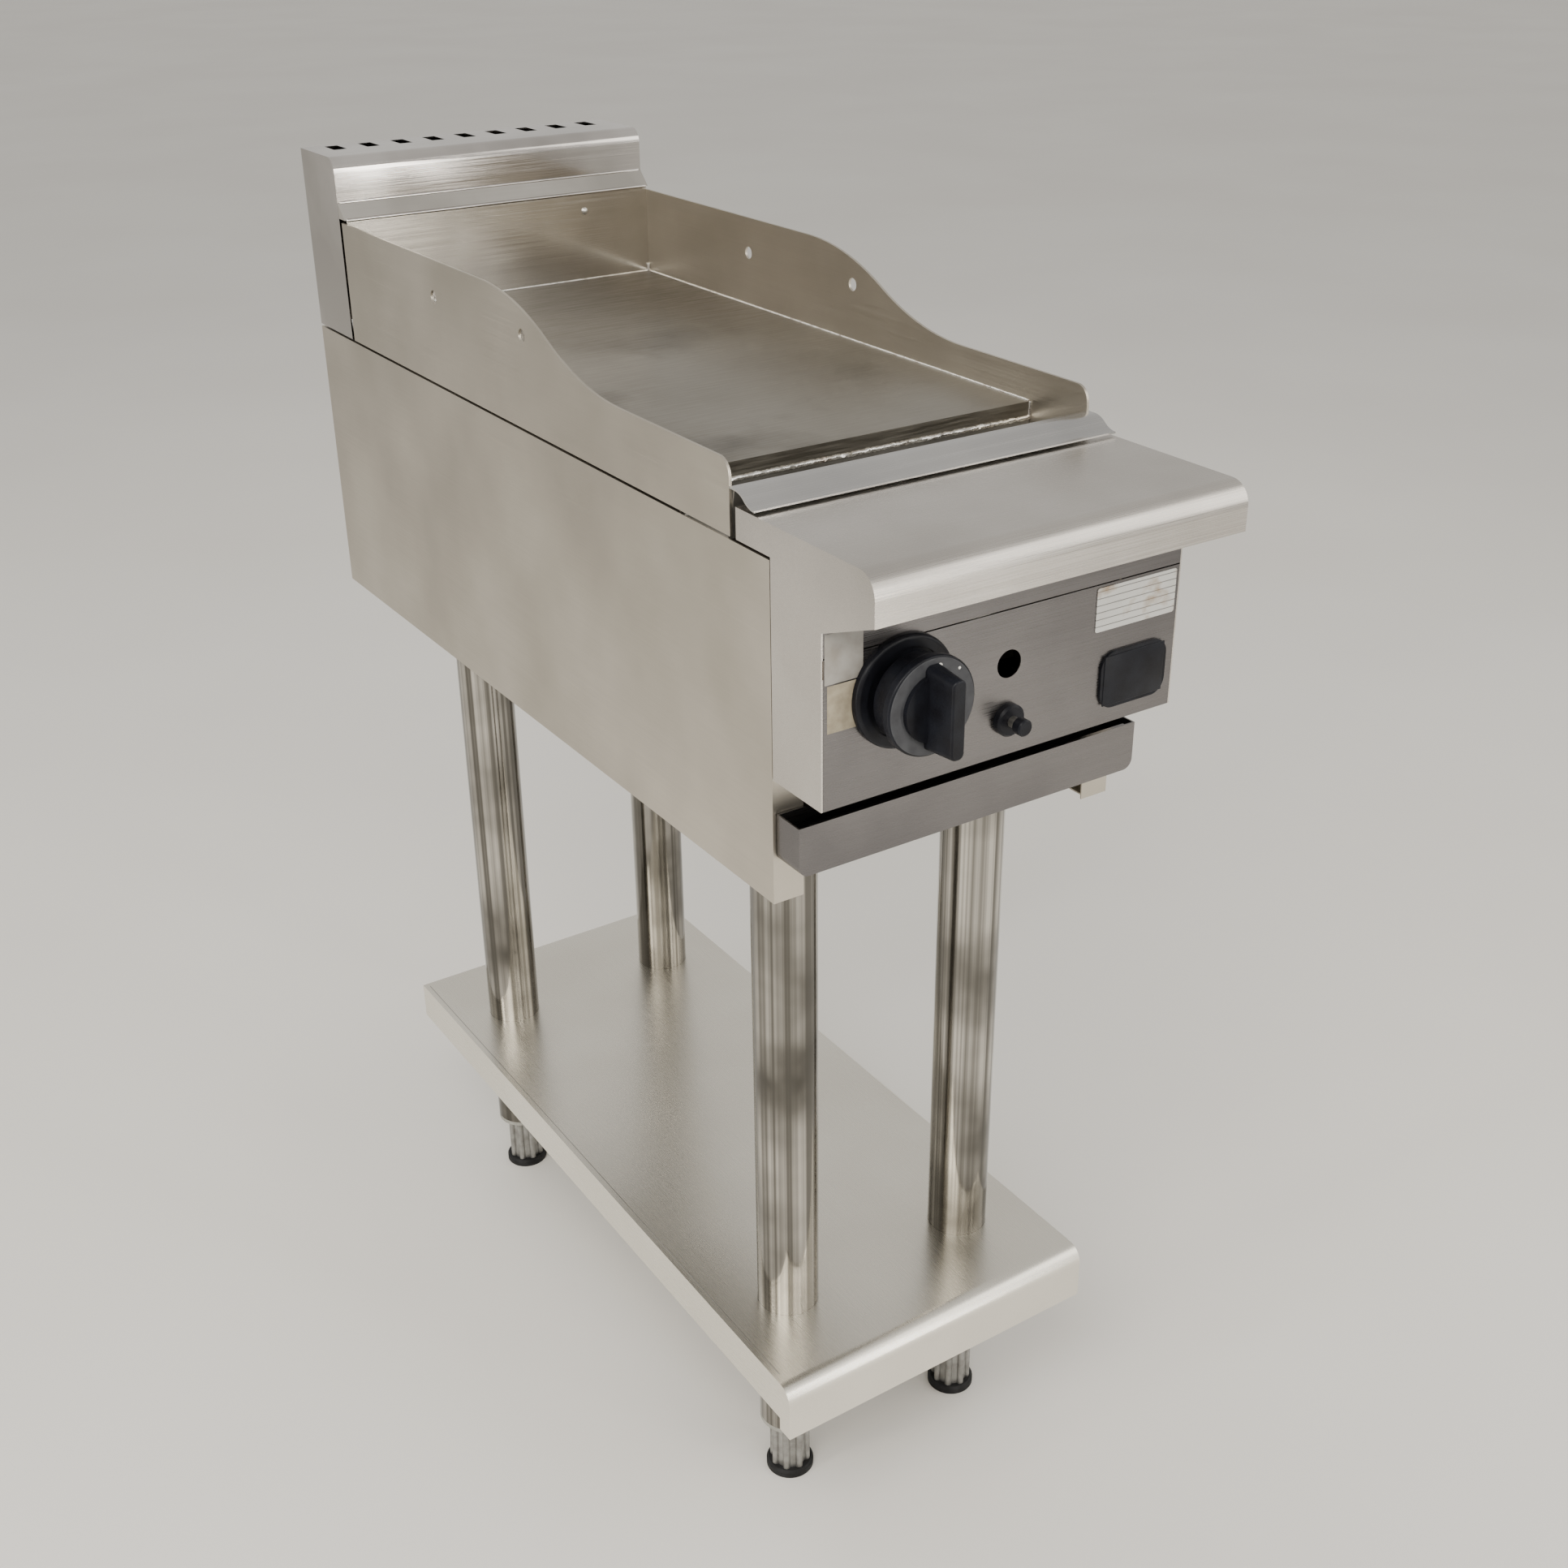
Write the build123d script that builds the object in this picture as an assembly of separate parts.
from build123d import *
import os

# Narrow gas griddle on a four-legged stand.
# X runs across the body, Y from front to back, Z up from the floor, all in millimetres.
# Depths are counted back from the front edges of the side panels; save() then shifts every
# piece so that the origin lies on the floor under the middle of the whole machine.

# ---------------------------------------------------------------- driving dimensions
BODY_WIDTH = 300.0
BODY_DEPTH = 760.0
UNDER_BODY = 628.0        # floor to underside of the side panels
SIDE_HEIGHT = 248.0       # side panel, up to the seam under the guard
PLATE_RISE = 29.0         # cooking surface above that seam
FLUE_RISE = 128.0         # flue top above the cooking surface
SHEET = 1.2               # general stainless sheet
HEAVY_SHEET = 2.0         # guards, splash and rails
BEND = 2.0                # radius of a folded corner, on the outside
HAIR = 0.2                # assembly gap between neighbouring sheets
SEAM_GAP = 2.2            # open joint between the side panels and what stands above them
FLUE_GAP = 5.0            # open joint between guard and flue
CHEEK_GAP = 0.8           # open joint between ledge cheek and side panel
LIP_GAP = 1.9             # open joint under the front edge of the lip
PUSH_FIT = 0.02           # radial gap of parts pushed together by hand
OVERRUN = 5.0             # how far a cutter passes each face that it cuts

# cooking plate, guards and trough
PLATE_THICKNESS = 12.0
PLATE_SETBACK = 107.0
GUARD_SETBACK = 46.0
GUARD_LOW_RISE = 24.0     # low front part, above the plate
GUARD_HIGH_RISE = 75.0    # high rear part, above the plate
GUARD_SWEEP_START = 190.0
GUARD_SWEEP_END = 400.0
GUARD_CORNER = 12.0
GUARD_HOLE_D = 10.5
GUARD_HOLE_DEPTHS = (334.0, 492.0)
GUARD_HOLE_RISE = 45.0
LIP_RISE = 6.5            # crest of the front lip above the plate
LIP_FRONT = 17.0
LIP_CREST = 6.0           # flat top of the lip before it rolls down
TROUGH_DEPTH = 24.0
TROUGH_TAB = 4.0         # part of the trough tucked under the plate
TROUGH_WALL = 6.0        # foot of its front wall, behind the guards' front edges
TROUGH_LEAN = 2.0        # top of its front wall, in front of those edges
TROUGH_BEND = 1.5
SPOUT_D = 38.0
SPOUT_X = 80.0
SPOUT_WALL = 1.5
SPOUT_THROUGH = 2.0       # end of the spout below the heat shield

# flue
FLUE_DEPTH = 76.0
FLUE_CORNER = 12.0
SPLASH_SLOPE_START = 78.0   # height above the plate where the splash leans back
SPLASH_SLOPE = 13.0
VENT_COUNT = 9
VENT_PITCH = 31.1
VENT_WIDTH = 12.0
VENT_LENGTH = 24.0
VENT_REAR_MARGIN = 6.0

# front ledge and control box
LEDGE_DROP = 5.0          # ledge top below the plate
LEDGE_REAR = 39.0
NOSE_REACH = 112.0
NOSE_RADIUS = 16.0
NOSE_SKIRT = 33.0
SKIRT_RETURN = 9.0        # hem under a nose skirt
PANEL_REACH = 57.0
PANEL_HEIGHT = 105.0
PANEL_BASE = 95.0         # above the underside of the side panels
PANEL_RETURN = 11.0
CHEEK_SLANT = 21.0
FASCIA_JOINT = 1.0        # gap between the panel and the strip above it

# side panels and back
FRONT_FLANGE = 24.4
BASE_FLANGE = 20.0
SMALL_FLANGE = 12.0
BACK_INSET = 25.0
LOUVRE_ROWS = 3
LOUVRE_COLUMNS = 4
LOUVRE_WIDTH = 36.0
LOUVRE_HEIGHT = 8.0
LOUVRE_PITCH_X = 56.0
LOUVRE_PITCH_Z = 40.0
LOUVRE_BASE = 100.0
PIPE_HOLE_GAP = 0.5

# grease tray
TRAY_FRONT_REACH = 27.5
TRAY_FRONT_BASE = 32.0    # above the underside of the side panels
TRAY_FRONT_HEIGHT = 37.0
TRAY_FRONT_INSET = 2.5
TRAY_LENGTH = 360.0
TRAY_DEPTH = 28.0
TRAY_SIDE_GAP = 2.0
TRAY_RAISE = 4.0          # tray floor above the foot of its front
TRAY_FRONT_CORNER = 8.0
TRAY_JOINT = 1.0          # tray and front meet this far ahead of the side panels
HEM_HEIGHT = 7.0
HEM_FOLD = 3.0
HEM_INSET = 9.0
RUNNER_OVERHANG = 20.0
RUNNER_WIDTH = 36.0
RUNNER_HEIGHT = 26.0

# controls
KNOB_X = -88.0
KNOB_ABOVE_PANEL_BASE = 70.5
KNOB_SKIRT_R = 34.0
KNOB_HUB_R = 30.0
KNOB_SKIRT_DEPTH = 7.0
KNOB_DISH_RISE = 4.0
KNOB_EDGE = 1.5
KNOB_DISH_R = 23.0
KNOB_FACE = 32.0          # panel face to skirt face
KNOB_BACK = 11.0          # panel face to the back of the knob
GRIP_LENGTH = 58.0
GRIP_WIDTH = 13.0
GRIP_HEIGHT = 27.0
GRIP_TIP_WIDTH = 10.4
GRIP_TIP_LENGTH = 54.0
GRIP_CORNER = 4.5
BEZEL_R = 39.0
BEZEL_HEIGHT = 6.0
BEZEL_RIM = 8.0
BEZEL_FLOOR = 3.0
BEZEL_ROUND = 3.0
SPINDLE_R = 4.0
SPINDLE_HOLE_GAP = 1.5
SPINDLE_TAIL = 30.0       # end of the spindle behind the panel
SPINDLE_HOLD = 6.0        # knob skin left in front of the spindle
RING_R = 6.0
RING_PLACE = 12.0
RING_LENGTH = 5.0
RUNNING_FIT = 0.06        # radial gap of a shaft that turns or slides
SIGHT_D = 20.0
SIGHT_ABOVE_PANEL_BASE = 66.7
IGNITER_X = 0.0
IGNITER_ABOVE_PANEL_BASE = 27.0
COLLAR_R = 11.5
COLLAR_HEIGHT = 6.0
COLLAR_EDGE = 1.5
PIEZO_R = 8.3
PIEZO_LENGTH = 38.0
PIEZO_NUT = 5.0
PIEZO_BORE = 16.0
PANEL_HOLE_R = 8.5
STEM_TAIL = 8.0
BUTTON_STEM_R = 4.0
BUTTON_CAP_R = 6.0
BUTTON_REACH = 20.0
BUTTON_CAP_HEIGHT = 7.0
BUTTON_CAP_EDGE = 1.0

# blank plates on the panel: left, right, foot and head, each from the panel's own corner
BADGE_X = (81.0, 141.0)
BADGE_RISE = (12.0, 54.0)
BADGE_THICKNESS = 2.0
BADGE_CORNER = 12.0
RATING_X = (74.0, 146.0)
RATING_DROP = (34.0, 2.0)
RATING_THICKNESS = 0.6
RATING_CORNER = 2.0

# burner and gas train
BURNER_DROP = 90.0        # burner centre line below the cooking surface
LIMB_R = 16.0
LIMB_X = 55.0
LIMB_START = 150.0
LIMB_END = 650.0
MIXER_R = 14.0
CROSS_R = 13.0
MIXER_START = 55.0
PORT_COUNT = 16
PORT_MARGIN = 30.0
PORT_LENGTH = 12.0
PORT_WIDTH = 2.0
PORT_FLOOR = 8.0
BURNER_WALL = 2.0
BURNER_END = 3.0
MIXER_BELL = 5.0
MIXER_BELL_LENGTH = 12.0
LIMB_TAIL = 2.0           # closed end of a limb in front of its bore
SADDLE_SIDE = 30.0
SADDLE_SETBACK = 55.0     # burner saddles in from the ends of the limbs
BULKHEAD_DEPTH = 112.0
SHIELD_RISE = 72.0        # heat shield above the underside of the side panels
SHIELD_SLOTS = 9
SHIELD_SLOT_HALF = 90.0
SHIELD_SLOT_WIDTH = 12.0
SHIELD_SLOT_PITCH = 60.0
SHIELD_SLOT_START = 50.0
MIXER_HOLE_GAP = 1.0
PEEP_X = 40.0
PEEP_RISE = 30.0
PIPE_R = 7.5
FEED_R = 4.0
INLET_R = 10.475          # half-inch taper thread, major radius
INLET_X = -105.0
PIPE_LANE_X = -137.0
PIPE_RISE = 47.0
RISER_Y = 24.0            # where the supply turns up behind the control box
JET_PIPE_Y = 10.0
JET_SETBACK = 24.0        # tail of the jet in front of the mixing tube
JET_HEX_R = 8.0
JET_HEX_LENGTH = 8.0
JET_R = 5.5
JET_LENGTH = 14.0
JET_BORE = 1.0
SHUTTER_SETBACK = 8.0
SHUTTER_RING = 12.5
SHUTTER_HOLE_R = 3.5
SHUTTER_BORE = 6.2
FEED_OUT = 26.0
FEED_BEND = 8.0
PIPE_BEND = 12.0
RISER_DROP = 30.0         # level run of the supply below the tap
PIPE_STRAIGHT = 60.0      # where the supply leaves the inlet's line, ahead of the rear legs
PIPE_CROSSED = 150.0      # where it has reached the side lane
INLET_HEX_R = 15.0
INLET_HEX_LENGTH = 6.0
INLET_BORE = 6.5
INLET_FLOOR = 1.0
INLET_SETBACK = 2.0       # thread end inside the body depth
TAP_HALF = 17.0
TAP_LENGTH = 40.0
TAP_FOOT = 22.0           # tap centre down to its inlet
TAP_SHELL = 4.0
TAP_HEAD = 16.0
TAP_GAP = 3.0             # tap body behind the panel
TAP_NECK_R = 11.0
TAP_INLET_R = 9.0
TAP_SETBACK = 25.0        # tap's inlet behind the panel
RING_BORE = (6.0, 30.0)   # ring chamber, from and to, behind the tap's front
SPINDLE_BORE = 34.0

# pilot group: place across the body, radius, foot, head, tip radius and tip length
PILOT_BURNER = (28.0, 5.0, 8.0, 38.0, 3.5, 6.0)
FLAME_PROBE = (46.0, 3.0, 4.0, 34.0, 2.0, 10.0)
SPARK_ELECTRODE = (64.0, 4.0, 6.0, 36.0, 1.2, 9.0)
PILOT_STANDOFF = 10.0
PILOT_SHELF = 18.0
PILOT_X = (18.0, 74.0)
PILOT_RISE = 22.0
PILOT_TALL = 12.0

# legs, shelf and feet
LEG_D = 50.8
LEG_WALL = 1.5
LEG_X = 88.7
LEG_FRONT = 82.0
LEG_REAR = 598.5
LEG_BOTTOM = 62.0
RAIL_HALF = 35.0
RAIL_HEIGHT = 28.0
SPIGOT_LENGTH = 45.0
SPIGOT_WALL = 2.5
SLIDE_GAP = 0.1
SHELF_TOP = 190.0
SHELF_FRONT = -12.5
SHELF_REAR = 692.0
SHELF_SKIRT = 37.0
SHELF_NOSE_SKIRT = 49.0
SHELF_NOSE_RADIUS = 14.0
SHELF_RAIL_HALF = 33.0
SHELF_RAIL_HEIGHT = 24.0
COLLAR_WALL = 4.0
COLLAR_TALL = 18.0
COLLAR_SCREW_R = 4.0
COLLAR_SCREW_HEAD = 3.0
FOOT_PAD_R = 20.5
FOOT_PAD_HEIGHT = 7.0
FOOT_PAD_EDGE = 2.0
FOOT_BODY_R = 16.0
FOOT_LOBES = 8
FOOT_LOBE_R = 3.2
STUD_R = 6.0
STUD_LENGTH = 48.0
INSERT_LENGTH = 34.0
INSERT_FLANGE = 4.0
FOOT_GAP = 0.5

# screws
SCREW_HEAD_R = 4.0
SCREW_HEAD_H = 2.4
SCREW_SHANK_R = 2.0
SCREW_SHANK_L = 3.0
SCREW_HOLE_R = SCREW_SHANK_R + HAIR
BACK_SCREW_INSET = 22.0
BACK_SCREW_MARGIN = 30.0
RAIL_SCREW_SPREAD = 20.0

# ---------------------------------------------------------------- derived places
half = BODY_WIDTH / 2
inner = half - SHEET
base_z = UNDER_BODY
seam_z = base_z + SIDE_HEIGHT
top_low_z = seam_z + SEAM_GAP
plate_z = seam_z + PLATE_RISE
plate_under = plate_z - PLATE_THICKNESS
flue_z = plate_z + FLUE_RISE
flue_front = BODY_DEPTH - FLUE_DEPTH
splash_face = flue_front - SPLASH_SLOPE
guard_inner = half - HEAVY_SHEET
ledge_z = plate_z - LEDGE_DROP
trough_z = plate_z - LIP_RISE - TROUGH_DEPTH
trough_front = GUARD_SETBACK + TROUGH_WALL
trough_middle = (trough_front + PLATE_SETBACK) / 2
panel_low = base_z + PANEL_BASE
panel_high = panel_low + PANEL_HEIGHT
panel_face = -PANEL_REACH
panel_back = panel_face + SHEET
back_y = BODY_DEPTH - BACK_INSET
knob_z = panel_low + KNOB_ABOVE_PANEL_BASE
sight_z = panel_low + SIGHT_ABOVE_PANEL_BASE
igniter_z = panel_low + IGNITER_ABOVE_PANEL_BASE
burner_z = plate_z - BURNER_DROP
shield_z = base_z + SHIELD_RISE
pipe_z = base_z + PIPE_RISE
tap_y = panel_back + TAP_SETBACK
floor_under_rail = base_z + SHEET
leg_r = LEG_D / 2
leg_bore = leg_r - LEG_WALL
leg_places = {
    "front_left": (-LEG_X, LEG_FRONT),
    "front_right": (LEG_X, LEG_FRONT),
    "rear_left": (-LEG_X, LEG_REAR),
    "rear_right": (LEG_X, LEG_REAR),
}
front_reach = max(NOSE_REACH, PANEL_REACH + KNOB_FACE + GRIP_HEIGHT)
shift_y = (front_reach - BODY_DEPTH) / 2
tray_low = base_z + TRAY_FRONT_BASE + TRAY_RAISE
collar_top = SHELF_TOP - 2 * SHEET
collar_outer = leg_r + SLIDE_GAP + COLLAR_WALL
back_screw_places = [
    (x, z)
    for z in (base_z + BACK_SCREW_MARGIN, (base_z + seam_z) / 2, seam_z - BACK_SCREW_MARGIN)
    for x in (-half + BACK_SCREW_INSET, half - BACK_SCREW_INSET)
]
rail_screw_places = [
    (x, depth + offset_y)
    for depth in (LEG_FRONT, LEG_REAR)
    for offset_y in (-RAIL_SCREW_SPREAD, RAIL_SCREW_SPREAD)
    for x in (-half + BASE_FLANGE / 2, half - BASE_FLANGE / 2)
]


# ---------------------------------------------------------------- helpers
def save(name, shape):
    """Write one piece, moved so that the origin is under the middle of the machine."""
    solids = shape.solids()
    piece = solids[0] if len(solids) == 1 else Compound(children=list(solids))
    export_step(Pos(0, shift_y, 0) * piece, f"parts/{name}.step")


def block(x0, x1, y0, y1, z0, z1):
    """Box between two opposite corners."""
    middle = Pos((x0 + x1) / 2, (y0 + y1) / 2, (z0 + z1) / 2)
    return middle * Box(abs(x1 - x0), abs(y1 - y0), abs(z1 - z0))


def across(radius, x, z, y0, y1):
    """Round bar or bore that runs from front to back."""
    length = abs(y1 - y0)
    return Pos(x, (y0 + y1) / 2, z) * Rot(90, 0, 0) * Cylinder(radius, length)


def upright(radius, x, y, z0, z1):
    """Round bar or bore that stands vertically."""
    return Pos(x, y, (z0 + z1) / 2) * Cylinder(radius, abs(z1 - z0))


def sideways(radius, y, z, x0, x1):
    """Round bar or bore that runs from left to right."""
    return Pos((x0 + x1) / 2, y, z) * Rot(0, 90, 0) * Cylinder(radius, abs(x1 - x0))


def tube(outer, wall, x, y, z0, z1):
    """Vertical round tube."""
    bore = upright(outer - wall, x, y, z0 - OVERRUN, z1 + OVERRUN)
    return upright(outer, x, y, z0, z1) - bore


def run_across(face, x0, x1):
    """Extrude a face drawn in depth and height from x0 to x1."""
    return extrude(Pos(x0, 0, 0) * (Plane.YZ * face), amount=x1 - x0, dir=(1, 0, 0))


def folded(points, gauge, width, bend=BEND, side=Side.LEFT):
    """Sheet folded to an outline of (depth, height) points, centred across the body."""
    path = FilletPolyline(*points, radius=bend)
    outline = offset(path, amount=gauge, side=side, closed=True)
    return run_across(make_face(outline.edges()), -width / 2, width / 2)


def pipe(points, radius, bend):
    """Solid round pipe along a bent route."""
    route = FilletPolyline(*points, radius=bend)
    return sweep(Plane(route @ 0, z_dir=route % 0) * Circle(radius), path=route)


def both_sides(piece):
    """A piece and its mirror image across the body."""
    return piece, mirror(piece, about=Plane.YZ)


# ---------------------------------------------------------------- body
def side_panel():
    """Right side panel: a flat sheet with flanges folded inwards on four edges."""
    sheet = block(inner, half, 0, BODY_DEPTH, base_z, seam_z)
    front = block(half - FRONT_FLANGE, inner, 0, SHEET, base_z, seam_z)
    foot = block(half - BASE_FLANGE, inner, SHEET, BODY_DEPTH, base_z, base_z + SHEET)
    head_start = BULKHEAD_DEPTH + SHEET
    head = block(half - SMALL_FLANGE, inner, head_start, BODY_DEPTH, seam_z - SHEET, seam_z)
    rear = block(half - SMALL_FLANGE, inner, BODY_DEPTH - SHEET, BODY_DEPTH, base_z, seam_z)
    panel = sheet + front + foot + head + rear
    for x, y in rail_screw_places:
        panel -= upright(SCREW_HOLE_R, x, y, base_z - OVERRUN, base_z + OVERRUN)
    return panel


def back_panel():
    """Inset back panel with cooling louvres, an inlet hole and a top flange."""
    low = base_z + SHEET
    high = seam_z - SHEET
    sheet = block(-inner, inner, back_y - SHEET, back_y, low, high)
    flange_half = half - SMALL_FLANGE - HAIR
    shelf = block(-flange_half, flange_half, back_y, BODY_DEPTH, high - SHEET, high)
    panel = sheet + shelf
    near = back_y - OVERRUN
    far = back_y + OVERRUN
    side = LOUVRE_WIDTH / 2
    for row in range(LOUVRE_ROWS):
        z = low + LOUVRE_BASE + row * LOUVRE_PITCH_Z
        for column in range(LOUVRE_COLUMNS):
            x = (column - (LOUVRE_COLUMNS - 1) / 2) * LOUVRE_PITCH_X
            panel -= block(x - side, x + side, near, far, z, z + LOUVRE_HEIGHT)
    for x, z in back_screw_places:
        panel -= across(SCREW_HOLE_R, x, z, near, far)
    return panel - across(PIPE_R + PIPE_HOLE_GAP, INLET_X, pipe_z, near, far)


def leg_rail(depth):
    """Channel across the body with two short spigots that the legs push on over."""
    gauge = HEAVY_SHEET
    low = floor_under_rail
    rail_half = inner - HAIR
    web = block(-rail_half, rail_half, depth - RAIL_HALF, depth + RAIL_HALF, low, low + gauge)
    for y in (depth - RAIL_HALF, depth + RAIL_HALF - gauge):
        web += block(-rail_half, rail_half, y, y + gauge, low + gauge, low + RAIL_HEIGHT)
    for x in (-LEG_X, LEG_X):
        web += tube(leg_bore - SLIDE_GAP, SPIGOT_WALL, x, depth, low - SPIGOT_LENGTH, low)
    for x, y in rail_screw_places:
        web -= upright(SCREW_HOLE_R, x, y, low - OVERRUN, low + OVERRUN)
    return web


# ---------------------------------------------------------------- cooking top
def guard():
    """Right splash guard: low at the front, sweeping up to the height of the splash."""
    low = plate_z + GUARD_LOW_RISE
    high = plate_z + GUARD_HIGH_RISE
    middle = ((GUARD_SWEEP_START + GUARD_SWEEP_END) / 2, (low + high) / 2)
    rear = flue_front - FLUE_GAP
    corner = (GUARD_SETBACK + GUARD_CORNER, low)
    outline = Curve() + [
        Line((rear, top_low_z), (GUARD_SETBACK, top_low_z)),
        Line((GUARD_SETBACK, top_low_z), (GUARD_SETBACK, low - GUARD_CORNER)),
        TangentArc((GUARD_SETBACK, low - GUARD_CORNER), corner, tangent=(0, 1)),
        Line(corner, (GUARD_SWEEP_START, low)),
        TangentArc((GUARD_SWEEP_START, low), middle, tangent=(1, 0)),
        TangentArc((GUARD_SWEEP_END, high), middle, tangent=(-1, 0)),
        Line((GUARD_SWEEP_END, high), (rear, high)),
        Line((rear, high), (rear, top_low_z)),
    ]
    sheet = run_across(make_face(outline.edges()), guard_inner, half)
    for depth in GUARD_HOLE_DEPTHS:
        z = plate_z + GUARD_HOLE_RISE
        sheet -= sideways(GUARD_HOLE_D / 2, depth, z, guard_inner - OVERRUN, half + OVERRUN)
    return sheet


def griddle_plate():
    """Thick ground steel plate between the guards."""
    return block(-guard_inner, guard_inner, PLATE_SETBACK, splash_face, plate_under, plate_z)


def rear_splash():
    """Upright sheet behind the plate whose top leans back to meet the flue."""
    bend_z = plate_z + SPLASH_SLOPE_START
    top_z = bend_z + SPLASH_SLOPE
    wall = block(-guard_inner, guard_inner, splash_face, splash_face + SHEET, plate_under, bend_z)
    edge = flue_front - HAIR
    lean = Polyline(
        (splash_face, bend_z), (edge, top_z - HAIR), (edge, top_z - HAIR - SHEET),
        (splash_face + SHEET, bend_z), close=True)
    cheek = Polyline(
        (splash_face + SHEET, bend_z), (edge, bend_z), (edge, top_z - HAIR - SHEET), close=True)
    splash = wall + run_across(make_face(lean.edges()), -half, half)
    splash += run_across(make_face(cheek.edges()), inner, half)
    splash += run_across(make_face(cheek.edges()), -half, -inner)
    return splash


def flue_cover():
    """Flue box with a rounded front top edge and a row of vents in its top."""
    front_low = plate_z + SPLASH_SLOPE_START + SPLASH_SLOPE

    def profile(inset, low):
        front = flue_front + inset
        top = flue_z - inset
        radius = FLUE_CORNER - inset
        lines = Curve() + [
            Line((front, low), (front, top - radius)),
            TangentArc((front, top - radius), (front + radius, top), tangent=(0, 1)),
            Line((front + radius, top), (BODY_DEPTH - inset, top)),
            Line((BODY_DEPTH - inset, top), (BODY_DEPTH - inset, low)),
            Line((BODY_DEPTH - inset, low), (front, low)),
        ]
        return make_face(lines.edges())

    shell = run_across(profile(0, top_low_z), -half, half)
    shell -= run_across(profile(SHEET, top_low_z - OVERRUN), -inner, inner)
    mouth_rear = flue_front + SHEET + OVERRUN
    shell -= block(-inner, inner, flue_front - OVERRUN, mouth_rear, top_low_z - OVERRUN, front_low)
    vent_rear = BODY_DEPTH - VENT_REAR_MARGIN
    for index in range(VENT_COUNT):
        x = (index - (VENT_COUNT - 1) / 2) * VENT_PITCH
        side = VENT_WIDTH / 2
        vent_front = vent_rear - VENT_LENGTH
        low = flue_z - OVERRUN
        shell -= block(x - side, x + side, vent_front, vent_rear, low, flue_z + OVERRUN)
    return shell


def grease_trough():
    """Open trough between the plate and the lip, with a drain hole in its floor."""
    crest = plate_z + LIP_RISE
    points = [
        (PLATE_SETBACK + TROUGH_TAB, plate_under), (PLATE_SETBACK, plate_under),
        (PLATE_SETBACK, trough_z), (trough_front, trough_z),
        (GUARD_SETBACK - TROUGH_LEAN, crest - SHEET - HAIR)]
    sheet = folded(points, SHEET, 2 * (guard_inner - HAIR), bend=TROUGH_BEND)
    bore = SPOUT_D / 2 - SPOUT_WALL
    return sheet - upright(bore, SPOUT_X, trough_middle, trough_z - OVERRUN, trough_z + OVERRUN)


def front_lip():
    """Pressed strip that rolls from the trough forwards and down on to the ledge."""
    crest = plate_z + LIP_RISE
    back = GUARD_SETBACK - HAIR
    low = ledge_z + SHEET + LIP_GAP
    start = back - LIP_CREST
    middle = ((start + LIP_FRONT) / 2, (crest + low) / 2)
    top_line = Line((back, crest), (start, crest))
    roll = TangentArc((start, crest), middle, tangent=(-1, 0))
    flare = TangentArc((LIP_FRONT, low), middle, tangent=(1, 0))
    path = Wire(top_line.edges() + roll.edges() + flare.edges())
    outline = offset(path, amount=SHEET, side=Side.LEFT, closed=True)
    return run_across(make_face(outline.edges()), -half, half)


def drain_spout():
    """Tube from the trough down to the grease tray."""
    top = trough_z - SHEET
    return tube(SPOUT_D / 2, SPOUT_WALL, SPOUT_X, trough_middle, shield_z - SPOUT_THROUGH, top)


# ---------------------------------------------------------------- front ledge and controls
def nose_cover(front, rear, top, radius, low, gauge):
    """Top sheet with a rounded nose, a skirt and a small return under the skirt."""
    skirt_return = gauge + SKIRT_RETURN

    def profile(inset):
        lines = Curve() + [
            Line((rear, top - inset), (front + radius, top - inset)),
            TangentArc((front + radius, top - inset), (front + inset, top - radius),
                       tangent=(-1, 0)),
            Line((front + inset, top - radius), (front + inset, low)),
        ]
        return lines

    outer = profile(0)
    inside = profile(gauge)
    ends = [Line((rear, top), (rear, top - gauge)), Line((front, low), (front + gauge, low))]
    section = make_face(outer.edges() + inside.edges() + ends[0].edges() + ends[1].edges())
    turned = make_face(Polyline(
        (front + gauge, low), (front + skirt_return, low), (front + skirt_return, low + gauge),
        (front + gauge, low + gauge), close=True).edges())
    return section, turned


def front_ledge():
    """Bullnosed landing with its two cheeks, open underneath and behind."""
    front = -NOSE_REACH
    skirt_low = ledge_z - NOSE_SKIRT
    section, turned = nose_cover(front, LEDGE_REAR, ledge_z, NOSE_RADIUS, skirt_low, SHEET)
    ledge = run_across(section, -half, half) + run_across(turned, -half, half)
    cheek_lines = Curve() + [
        Line((LEDGE_REAR, ledge_z - SHEET / 2), (front + NOSE_RADIUS, ledge_z - SHEET / 2)),
        TangentArc((front + NOSE_RADIUS, ledge_z - SHEET / 2),
                   (front + SHEET / 2, ledge_z - NOSE_RADIUS), tangent=(-1, 0)),
        Polyline((front + SHEET / 2, ledge_z - NOSE_RADIUS), (front + SHEET / 2, skirt_low),
                 (panel_face, skirt_low - CHEEK_SLANT), (panel_face, panel_low),
                 (-CHEEK_GAP, panel_low), (-CHEEK_GAP, top_low_z), (LEDGE_REAR, top_low_z),
                 (LEDGE_REAR, ledge_z - SHEET / 2)),
    ]
    cheek = make_face(cheek_lines.edges())
    return ledge + run_across(cheek, inner, half) + run_across(cheek, -half, -inner)


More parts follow.
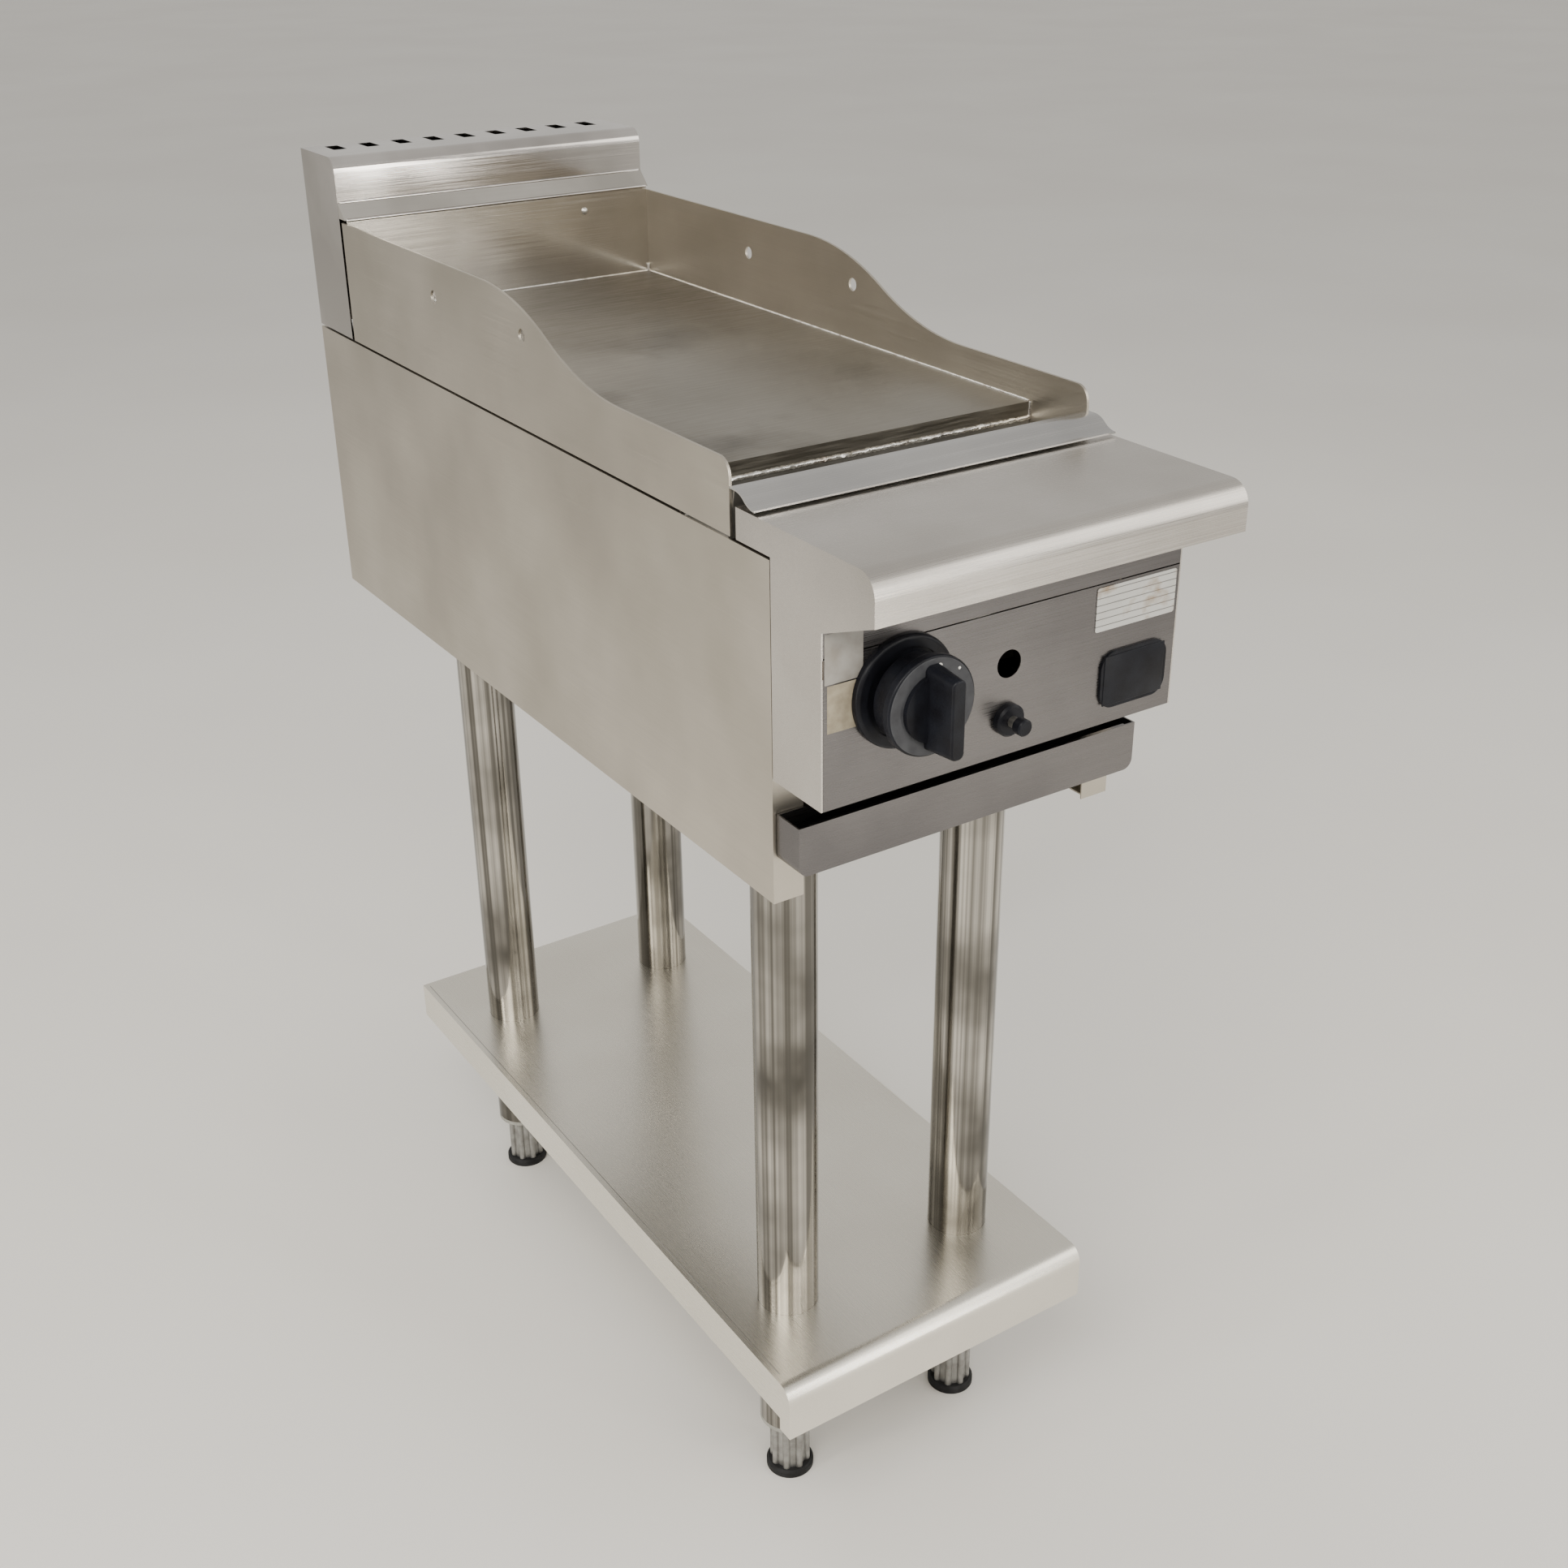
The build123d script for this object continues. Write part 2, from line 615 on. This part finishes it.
def control_panel():
    """Front panel of the control box with holes for the spindle, flame and igniter."""
    side = inner - HAIR
    near = panel_face - OVERRUN
    far = panel_back + OVERRUN
    sheet = block(-side, side, panel_face, panel_back, panel_low, panel_high)
    turned = panel_back + PANEL_RETURN
    sheet += block(-side, side, panel_back, turned, panel_low, panel_low + SHEET)
    sheet -= across(SPINDLE_R + SPINDLE_HOLE_GAP, KNOB_X, knob_z, near, far)
    sheet -= across(SIGHT_D / 2, 0, sight_z, near, far)
    return sheet - across(PANEL_HOLE_R, IGNITER_X, igniter_z, near, far)


def fascia_strip():
    """Strip above the control panel, fixed under the ledge."""
    side = inner - HAIR
    low = panel_high + FASCIA_JOINT
    return block(-side, side, panel_face, panel_back, low, ledge_z - SHEET)


def knob_bezel():
    """Dished ring round the knob spindle."""
    front = panel_face - BEZEL_HEIGHT
    near = front - OVERRUN
    ring = across(BEZEL_R, KNOB_X, knob_z, front, panel_face)
    ring = fillet(ring.edges().group_by(Axis.Y)[0], BEZEL_ROUND)
    ring -= across(BEZEL_R - BEZEL_RIM, KNOB_X, knob_z, near, panel_face - BEZEL_FLOOR)
    hole = SPINDLE_R + SPINDLE_HOLE_GAP
    return ring - across(hole, KNOB_X, knob_z, near, panel_face + OVERRUN)


def gas_knob():
    """Push-and-turn knob: hub, skirt and an upright grip bar."""
    back = panel_face - KNOB_BACK
    face = panel_face - KNOB_FACE
    tip = face - GRIP_HEIGHT
    skirt_back = face + KNOB_SKIRT_DEPTH
    skirt = across(KNOB_SKIRT_R, KNOB_X, knob_z, face, skirt_back)
    knob = across(KNOB_HUB_R, KNOB_X, knob_z, back, skirt_back) + fillet(skirt.edges(), KNOB_EDGE)
    knob += across(KNOB_DISH_R, KNOB_X, knob_z, face - KNOB_DISH_RISE, face)
    foot = Plane(origin=(KNOB_X, face, knob_z), x_dir=(1, 0, 0), z_dir=(0, -1, 0))
    head = Plane(origin=(KNOB_X, tip, knob_z), x_dir=(1, 0, 0), z_dir=(0, -1, 0))
    low_face = foot * RectangleRounded(GRIP_WIDTH, GRIP_LENGTH, GRIP_CORNER)
    top_face = head * RectangleRounded(GRIP_TIP_WIDTH, GRIP_TIP_LENGTH, GRIP_CORNER)
    grip = loft([low_face, top_face])
    knob += fillet(grip.edges().group_by(Axis.Y)[0], KNOB_EDGE)
    blind = face + SPINDLE_HOLD
    return knob - across(SPINDLE_R + PUSH_FIT, KNOB_X, knob_z, back + OVERRUN, blind)


def valve_spindle():
    """Turned spindle that the knob is pressed on to."""
    start = panel_face - KNOB_FACE + SPINDLE_HOLD
    return across(SPINDLE_R, KNOB_X, knob_z, start, panel_back + SPINDLE_TAIL)


def thrust_ring():
    """Ring in the tap that the pushed spindle carries inwards."""
    start = panel_back + RING_PLACE
    end = start + RING_LENGTH
    ring = across(RING_R, KNOB_X, knob_z, start, end)
    return ring - across(SPINDLE_R + RUNNING_FIT, KNOB_X, knob_z, start - OVERRUN, end + OVERRUN)


def gas_valve():
    """Gas tap body behind the panel, bored for the spindle and its ring."""
    start = panel_back + TAP_GAP
    end = start + TAP_LENGTH
    low = knob_z - TAP_FOOT + TAP_SHELL
    high = knob_z + TAP_HEAD
    body = block(KNOB_X - TAP_HALF, KNOB_X + TAP_HALF, start, end, low, high)
    body = fillet(body.edges().filter_by(Axis.Y), TAP_SHELL)
    body += across(TAP_NECK_R, KNOB_X, knob_z, panel_back, start)
    body += upright(TAP_INLET_R, KNOB_X, tap_y, knob_z - TAP_FOOT, low)
    chamber_front, chamber_rear = (start + place for place in RING_BORE)
    body -= across(RING_R + RUNNING_FIT, KNOB_X, knob_z, chamber_front, chamber_rear)
    bore = SPINDLE_R + RUNNING_FIT
    return body - across(bore, KNOB_X, knob_z, panel_face, start + SPINDLE_BORE)


def igniter_collar():
    """Black collar of the igniter on the panel face."""
    front = panel_face - COLLAR_HEIGHT
    collar = across(COLLAR_R, IGNITER_X, igniter_z, front, panel_face)
    collar = chamfer(collar.edges().group_by(Axis.Y)[0], COLLAR_EDGE)
    bore = BUTTON_STEM_R + RUNNING_FIT
    return collar - across(bore, IGNITER_X, igniter_z, front - OVERRUN, panel_face + OVERRUN)


def piezo_body():
    """Spark generator behind the panel, with the bore for the push stem."""
    body = across(PIEZO_R, IGNITER_X, igniter_z, panel_face, panel_back + PIEZO_LENGTH)
    body += across(COLLAR_R, IGNITER_X, igniter_z, panel_back, panel_back + PIEZO_NUT)
    bore = BUTTON_STEM_R + RUNNING_FIT
    near = panel_face - OVERRUN
    return body - across(bore, IGNITER_X, igniter_z, near, panel_back + PIEZO_BORE)


def button_stem():
    """Polished push stem of the igniter."""
    front = panel_face - BUTTON_REACH + BUTTON_CAP_HEIGHT
    return across(BUTTON_STEM_R, IGNITER_X, igniter_z, front, panel_back + STEM_TAIL)


def button_cap():
    """Black cap on the front of the push stem."""
    front = panel_face - BUTTON_REACH
    cap = across(BUTTON_CAP_R, IGNITER_X, igniter_z, front, front + BUTTON_CAP_HEIGHT)
    return chamfer(cap.edges().group_by(Axis.Y)[0], BUTTON_CAP_EDGE)


def plain_plate(x_range, low, high, thickness, corner):
    """Thin blank plate stuck on the control panel."""
    plate = block(x_range[0], x_range[1], panel_face - thickness, panel_face, low, high)
    return fillet(plate.edges().filter_by(Axis.Y), corner)


# ---------------------------------------------------------------- grease tray
def tray_front():
    """Wide channel across the front of the tray that serves as its pull."""
    side = half - TRAY_FRONT_INSET
    low = base_z + TRAY_FRONT_BASE
    high = low + TRAY_FRONT_HEIGHT
    face = -TRAY_FRONT_REACH
    rear = -TRAY_JOINT
    solid = block(-side, side, face, rear, low, high)
    edge = solid.edges().filter_by(Axis.Y).group_by(Axis.Z)[0]
    solid = fillet(edge, TRAY_FRONT_CORNER)
    wall = side - SHEET
    hollow = block(-wall, wall, face + SHEET, rear - SHEET, low + SHEET, high + OVERRUN)
    hollow_edge = hollow.edges().filter_by(Axis.Y).group_by(Axis.Z)[0]
    channel = solid - fillet(hollow_edge, TRAY_FRONT_CORNER - SHEET)
    hem_half = side - HEM_INSET
    hem = block(-hem_half, hem_half, face + SHEET, face + HEM_FOLD, high - HEM_HEIGHT, high)
    return channel + hem


def grease_tray():
    """Open tray behind the pull."""
    side = half - FRONT_FLANGE - TRAY_SIDE_GAP
    wall = side - SHEET
    front = -TRAY_JOINT
    high = tray_low + TRAY_DEPTH
    tray = block(-side, side, front, TRAY_LENGTH, tray_low, high)
    inside_rear = TRAY_LENGTH - SHEET
    floor = tray_low + SHEET
    return tray - block(-wall, wall, front + SHEET, inside_rear, floor, high + OVERRUN)


def tray_runner():
    """Right runner: an angle on the side panel that the tray slides on."""
    top = tray_low - HAIR
    rear = TRAY_LENGTH + RUNNER_OVERHANG
    shelf = block(inner - RUNNER_WIDTH, inner, SHEET, rear, top - SHEET, top)
    return shelf + block(inner - SHEET, inner, SHEET, rear, top, top + RUNNER_HEIGHT)


# ---------------------------------------------------------------- burner and gas train
def bulkhead():
    """Wall between the burner box and the control box."""
    side = guard_inner - HAIR
    near = BULKHEAD_DEPTH - OVERRUN
    far = BULKHEAD_DEPTH + OVERRUN
    wall = block(-side, side, BULKHEAD_DEPTH, BULKHEAD_DEPTH + SHEET, shield_z, plate_under)
    wall -= across(MIXER_R + MIXER_HOLE_GAP, 0, burner_z, near, far)
    return wall - across(SIGHT_D / 2, PEEP_X, burner_z + PEEP_RISE, near, far)


def heat_shield():
    """Slotted floor of the burner box, above the grease tray."""
    front = BULKHEAD_DEPTH + SHEET
    sheet = block(-inner, inner, front, back_y - SHEET, shield_z, shield_z + SHEET)
    side = SHIELD_SLOT_HALF
    for index in range(SHIELD_SLOTS):
        y = front + SHIELD_SLOT_START + index * SHIELD_SLOT_PITCH
        rear = y + SHIELD_SLOT_WIDTH
        sheet -= block(-side, side, y, rear, shield_z - OVERRUN, shield_z + OVERRUN)
    return sheet


def burner():
    """Twin-limb tube burner fed by one mixing tube."""
    bell_end = MIXER_START + MIXER_BELL_LENGTH
    bore_end = LIMB_START - BURNER_END
    pipes = sideways(CROSS_R, LIMB_START, burner_z, -LIMB_X, LIMB_X)
    pipes += across(MIXER_R, 0, burner_z, MIXER_START, LIMB_START)
    pipes += across(MIXER_R + MIXER_BELL, 0, burner_z, MIXER_START, bell_end)
    pipes -= across(MIXER_R - BURNER_WALL, 0, burner_z, MIXER_START - OVERRUN, bore_end)
    pitch = (LIMB_END - LIMB_START - 2 * PORT_MARGIN) / (PORT_COUNT - 1)
    port_low = burner_z + PORT_FLOOR
    port_high = burner_z + LIMB_R + OVERRUN
    hollow_front = LIMB_START - LIMB_R
    for limb in (-LIMB_X, LIMB_X):
        pipes += across(LIMB_R, limb, burner_z, hollow_front - LIMB_TAIL, LIMB_END)
        pipes -= across(LIMB_R - BURNER_WALL, limb, burner_z, hollow_front, LIMB_END - BURNER_END)
        left = limb - PORT_LENGTH / 2
        right = limb + PORT_LENGTH / 2
        for index in range(PORT_COUNT):
            y = LIMB_START + PORT_MARGIN + index * pitch
            front = y - PORT_WIDTH / 2
            pipes -= block(left, right, front, front + PORT_WIDTH, port_low, port_high)
    return pipes


def burner_bracket(depth):
    """Saddle that holds both limbs above the heat shield."""
    low = shield_z + SHEET
    side = LIMB_X + SADDLE_SIDE
    plate = block(-side, side, depth, depth + HEAVY_SHEET, low, burner_z)
    for limb in (-LIMB_X, LIMB_X):
        plate -= across(LIMB_R + RUNNING_FIT, limb, burner_z, depth - OVERRUN, depth + OVERRUN)
    return plate


def air_shutter():
    """Disc in front of the mixing tube that sets the primary air."""
    start = MIXER_START - SHUTTER_SETBACK
    near = start - OVERRUN
    far = start + OVERRUN
    ring = across(MIXER_R + MIXER_BELL, 0, burner_z, start, start + SHEET)
    reach = SHUTTER_RING / 2 ** 0.5
    for x in (-reach, reach):
        for z in (burner_z - reach, burner_z + reach):
            ring -= across(SHUTTER_HOLE_R, x, z, near, far)
    return ring - across(SHUTTER_BORE, 0, burner_z, near, far)


def hexagon(radius, length, x, z, start):
    """Hexagon bar from front to back."""
    bar = extrude(RegularPolygon(radius, 6), length / 2, both=True)
    return Pos(x, start + length / 2, z) * Rot(90, 0, 0) * bar


def injector():
    """Brass jet that the mixing tube draws from."""
    start = MIXER_START - JET_SETBACK
    nose = start + JET_HEX_LENGTH
    end = nose + JET_LENGTH
    body = hexagon(JET_HEX_R, JET_HEX_LENGTH, 0, burner_z, start)
    body += across(JET_R, 0, burner_z, nose, end)
    return body - across(JET_BORE, 0, burner_z, start - OVERRUN, end + OVERRUN)


def feed_pipe():
    """Pipe from the side of the gas tap to the jet."""
    start_x = KNOB_X + TAP_HALF
    turn_x = start_x + FEED_OUT
    points = [
        (start_x, tap_y, knob_z), (turn_x, tap_y, knob_z),
        (turn_x, JET_PIPE_Y, knob_z), (0, JET_PIPE_Y, burner_z),
        (0, MIXER_START - JET_SETBACK, burner_z)]
    return pipe(points, FEED_R, FEED_BEND)


def supply_pipe():
    """Gas supply from the rear inlet, forward along the left side and up to the tap."""
    tap_z = knob_z - TAP_FOOT
    turn_z = tap_z - RISER_DROP
    points = [
        (INLET_X, back_y, pipe_z), (INLET_X, LEG_REAR - PIPE_STRAIGHT, pipe_z),
        (PIPE_LANE_X, LEG_REAR - PIPE_CROSSED, pipe_z), (PIPE_LANE_X, RISER_Y, pipe_z),
        (PIPE_LANE_X, RISER_Y, turn_z), (KNOB_X, RISER_Y, turn_z),
        (KNOB_X, tap_y, turn_z), (KNOB_X, tap_y, tap_z)]
    return pipe(points, PIPE_R, PIPE_BEND)


def gas_inlet():
    """Threaded rear inlet with its hexagon against the back panel."""
    thread_start = back_y + INLET_HEX_LENGTH
    fitting = hexagon(INLET_HEX_R, INLET_HEX_LENGTH, INLET_X, pipe_z, back_y)
    fitting += across(INLET_R, INLET_X, pipe_z, thread_start, BODY_DEPTH - INLET_SETBACK)
    return fitting - across(INLET_BORE, INLET_X, pipe_z, back_y + INLET_FLOOR, BODY_DEPTH + OVERRUN)


def pilot_bracket():
    """Angle on the bulkhead that carries pilot, probe and electrode."""
    front = BULKHEAD_DEPTH + SHEET
    left, right = PILOT_X
    low = burner_z + PILOT_RISE
    high = low + HEAVY_SHEET
    shelf = block(left, right, front, front + PILOT_SHELF, low, high)
    shelf += block(left, right, front, front + HEAVY_SHEET, high, high + PILOT_TALL)
    for x, radius, *rest in (PILOT_BURNER, FLAME_PROBE, SPARK_ELECTRODE):
        y = front + PILOT_STANDOFF
        shelf -= upright(radius + PUSH_FIT, x, y, low - OVERRUN, high + OVERRUN)
    return shelf


def pilot_piece(x, radius, foot, head, tip_radius, tip):
    """Upright body with a thinner tip, standing in the pilot bracket."""
    y = BULKHEAD_DEPTH + SHEET + PILOT_STANDOFF
    top = burner_z + head
    body = upright(radius, x, y, burner_z + foot, top)
    return body + upright(tip_radius, x, y, top, top + tip)


# ---------------------------------------------------------------- stand
def leg(x, y):
    """Round leg tube."""
    return tube(leg_r, LEG_WALL, x, y, LEG_BOTTOM, floor_under_rail)


def undershelf():
    """Shelf pan with a rounded front nose, side and rear skirts and four leg holes."""
    low = SHELF_TOP - SHELF_NOSE_SKIRT
    section, turned = nose_cover(
        SHELF_FRONT, SHELF_REAR, SHELF_TOP, SHELF_NOSE_RADIUS, low, SHEET)
    pan = run_across(section, -half, half) + run_across(turned, -half, half)
    start = SHELF_FRONT + SHELF_NOSE_RADIUS
    side_lines = Curve() + [
        Line((SHELF_REAR, SHELF_TOP - SHEET / 2), (start, SHELF_TOP - SHEET / 2)),
        TangentArc((start, SHELF_TOP - SHEET / 2),
                   (SHELF_FRONT + SHEET / 2, SHELF_TOP - SHELF_NOSE_RADIUS), tangent=(-1, 0)),
        Polyline((SHELF_FRONT + SHEET / 2, SHELF_TOP - SHELF_NOSE_RADIUS),
                 (SHELF_FRONT + SHEET / 2, low), (start, low),
                 (start, SHELF_TOP - SHELF_SKIRT), (SHELF_REAR, SHELF_TOP - SHELF_SKIRT),
                 (SHELF_REAR, SHELF_TOP - SHEET / 2)),
    ]
    skirt = make_face(side_lines.edges())
    pan += run_across(skirt, inner, half) + run_across(skirt, -half, -inner)
    pan += block(-inner, inner, SHELF_REAR - SHEET, SHELF_REAR,
                 SHELF_TOP - SHELF_SKIRT, SHELF_TOP - SHEET)
    for x, y in leg_places.values():
        pan -= upright(leg_r + SLIDE_GAP, x, y, SHELF_TOP - OVERRUN, SHELF_TOP + OVERRUN)
    return pan


def shelf_rail(depth):
    """Inverted channel under the shelf at one pair of legs."""
    top = SHELF_TOP - SHEET
    side = inner - HAIR
    low = top - SHELF_RAIL_HEIGHT
    rail = block(-side, side, depth - SHELF_RAIL_HALF, depth + SHELF_RAIL_HALF, top - SHEET, top)
    for y in (depth - SHELF_RAIL_HALF, depth + SHELF_RAIL_HALF - SHEET):
        rail += block(-side, side, y, y + SHEET, low, top - SHEET)
    for x in (-LEG_X, LEG_X):
        rail -= upright(leg_r + SLIDE_GAP, x, depth, low - OVERRUN, top + OVERRUN)
    return rail


def shelf_collars():
    """Four collars clamped on the legs under the shelf rails."""
    low = collar_top - COLLAR_TALL
    return [tube(collar_outer, COLLAR_WALL, x, y, low, collar_top) for x, y in leg_places.values()]


def collar_screws():
    """Four cross screws that lock the collars."""
    z = collar_top - COLLAR_TALL / 2
    screws = []
    for x, y in leg_places.values():
        start = x + collar_outer if x > 0 else x - collar_outer
        end = start + COLLAR_SCREW_HEAD if x > 0 else start - COLLAR_SCREW_HEAD
        screws.append(sideways(COLLAR_SCREW_R, y, z, min(start, end), max(start, end)))
    return screws


def foot_insert(x, y):
    """Tapped plug pressed into the bottom of a leg."""
    top = LEG_BOTTOM + INSERT_LENGTH
    low = LEG_BOTTOM - INSERT_FLANGE
    plug = upright(leg_bore - SLIDE_GAP, x, y, LEG_BOTTOM, top)
    plug += upright(leg_r, x, y, low, LEG_BOTTOM)
    return plug - upright(STUD_R + RUNNING_FIT, x, y, low - OVERRUN, top + OVERRUN)


def foot_body(x, y):
    """Fluted adjustable foot with its threaded stud."""
    top = LEG_BOTTOM - INSERT_FLANGE - FOOT_GAP
    height = top - FOOT_PAD_HEIGHT
    ring = FOOT_BODY_R - FOOT_LOBE_R / 2
    body = upright(ring, x, y, FOOT_PAD_HEIGHT, top)
    for place in PolarLocations(ring, FOOT_LOBES):
        body += Pos(x, y, FOOT_PAD_HEIGHT + height / 2) * place * Cylinder(FOOT_LOBE_R, height)
    return body + upright(STUD_R, x, y, top, top + STUD_LENGTH)


def foot_pad(x, y):
    """Round base of the adjustable foot."""
    pad = upright(FOOT_PAD_R, x, y, 0, FOOT_PAD_HEIGHT)
    return chamfer(pad.edges().group_by(Axis.Z)[-1], FOOT_PAD_EDGE)


# ---------------------------------------------------------------- fasteners
def screw(x, y, z, turn):
    """Pan-head screw; turn sets the way its head points."""
    head = Pos(0, 0, SCREW_HEAD_H / 2) * Cylinder(SCREW_HEAD_R, SCREW_HEAD_H)
    shank = Pos(0, 0, -SCREW_SHANK_L / 2) * Cylinder(SCREW_SHANK_R, SCREW_SHANK_L)
    return Pos(x, y, z) * turn * (head + shank)


def back_screws():
    """Screws round the edge of the back panel."""
    return [screw(x, back_y, z, Rot(-90, 0, 0)) for x, z in back_screw_places]


def rail_screws():
    """Screws up through the side panels' lower flanges that hold the leg rails."""
    return [screw(x, y, base_z, Rot(180, 0, 0)) for x, y in rail_screw_places]


def group(pieces):
    """Several separate solids as one node."""
    return Compound(children=[solid for piece in pieces for solid in piece.solids()])


# ---------------------------------------------------------------- build
def main():
    """Make every piece and write it to its own file."""
    os.makedirs("parts", exist_ok=True)
    right, left = both_sides(side_panel())
    save("side_panel_right", right)
    save("side_panel_left", left)
    right, left = both_sides(guard())
    save("splash_guard_right", right)
    save("splash_guard_left", left)
    save("tray_runners", group(both_sides(tray_runner())))
    save("back_panel", back_panel())
    save("leg_rails", group([leg_rail(LEG_FRONT), leg_rail(LEG_REAR)]))
    save("griddle_plate", griddle_plate())
    save("rear_splash", rear_splash())
    save("flue_cover", flue_cover())
    save("grease_trough", grease_trough())
    save("front_lip", front_lip())
    save("drain_spout", drain_spout())
    save("front_ledge", front_ledge())
    save("control_panel", control_panel())
    save("fascia_strip", fascia_strip())
    save("knob_bezel", knob_bezel())
    save("gas_knob", gas_knob())
    save("valve_spindle", valve_spindle())
    save("thrust_ring", thrust_ring())
    save("gas_valve", gas_valve())
    save("igniter_collar", igniter_collar())
    save("piezo_body", piezo_body())
    save("button_stem", button_stem())
    save("button_cap", button_cap())
    badge_low, badge_high = (panel_low + rise for rise in BADGE_RISE)
    badge = plain_plate(BADGE_X, badge_low, badge_high, BADGE_THICKNESS, BADGE_CORNER)
    save("badge_plate", badge)
    rating_low, rating_high = (panel_high - drop for drop in RATING_DROP)
    rating = plain_plate(RATING_X, rating_low, rating_high, RATING_THICKNESS, RATING_CORNER)
    save("rating_plate", rating)
    save("tray_front", tray_front())
    save("grease_tray", grease_tray())
    save("bulkhead", bulkhead())
    save("heat_shield", heat_shield())
    save("burner", burner())
    saddle_depths = (LIMB_START + SADDLE_SETBACK, LIMB_END - SADDLE_SETBACK)
    save("burner_brackets", group([burner_bracket(depth) for depth in saddle_depths]))
    save("air_shutter", air_shutter())
    save("injector", injector())
    save("feed_pipe", feed_pipe())
    save("supply_pipe", supply_pipe())
    save("gas_inlet", gas_inlet())
    save("pilot_bracket", pilot_bracket())
    save("pilot_burner", pilot_piece(*PILOT_BURNER))
    save("flame_probe", pilot_piece(*FLAME_PROBE))
    save("spark_electrode", pilot_piece(*SPARK_ELECTRODE))
    for name, (x, y) in leg_places.items():
        save(f"leg_{name}", leg(x, y))
    save("undershelf", undershelf())
    save("shelf_rails", group([shelf_rail(LEG_FRONT), shelf_rail(LEG_REAR)]))
    save("shelf_collars", group(shelf_collars()))
    save("collar_screws", group(collar_screws()))
    save("sheet_screws", group(back_screws() + rail_screws()))
    save("foot_inserts", group([foot_insert(x, y) for x, y in leg_places.values()]))
    for name, (x, y) in leg_places.items():
        save(f"foot_body_{name}", foot_body(x, y))
        save(f"foot_pad_{name}", foot_pad(x, y))


main()
